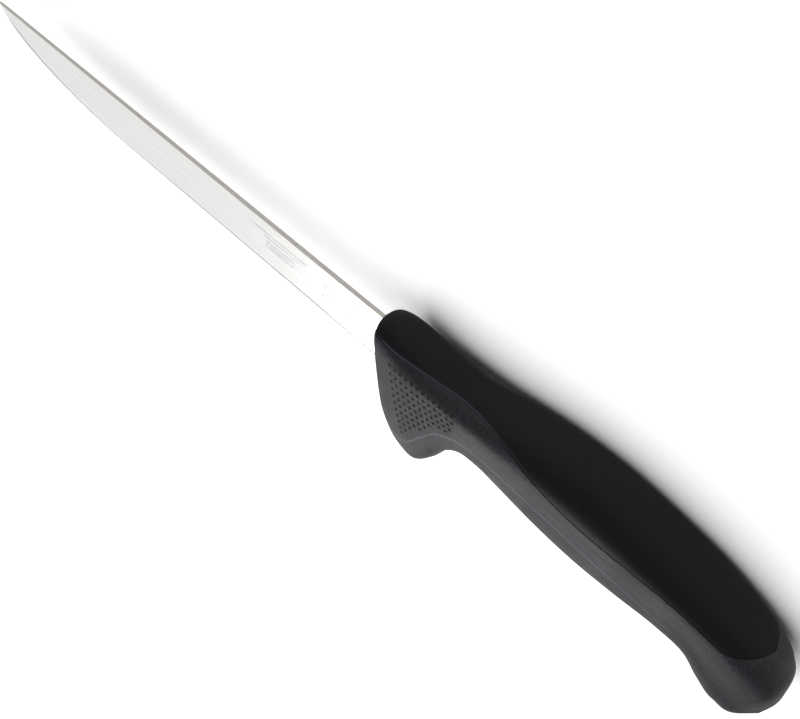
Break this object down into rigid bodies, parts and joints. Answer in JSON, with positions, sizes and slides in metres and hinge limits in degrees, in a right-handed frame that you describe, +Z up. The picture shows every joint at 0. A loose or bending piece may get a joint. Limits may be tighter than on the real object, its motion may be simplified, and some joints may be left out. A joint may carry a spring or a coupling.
{
  "type": "boning knife",
  "caption": "Narrow straight-backed boning knife with a swept-up tip, on a contoured moulded handle with a finger guard, a hooked butt and a soft back panel.",
  "frame": {"origin": "middle of the knife's bounding box, on the floor it lies on", "axes": "+X along the blade towards the tip, +Y across the knife from the spine towards the cutting edge, +Z up out of the flank that shows when it lies on its side"},
  "size_m": [0.2854, 0.0414, 0.022],
  "materials": {
    "blade_steel": "ground and fine satin polished along the blade, brighter at the edge bevel",
    "core_plastic": "hard black plastic with a fine spark-eroded grain",
    "grip_rubber": "smooth matt deep black soft plastic"
  },
  "bodies": {
    "root": {"blade": "blade_steel", "handle_core": "core_plastic", "soft_grip": "grip_rubber"}
  },
  "joints": []
}
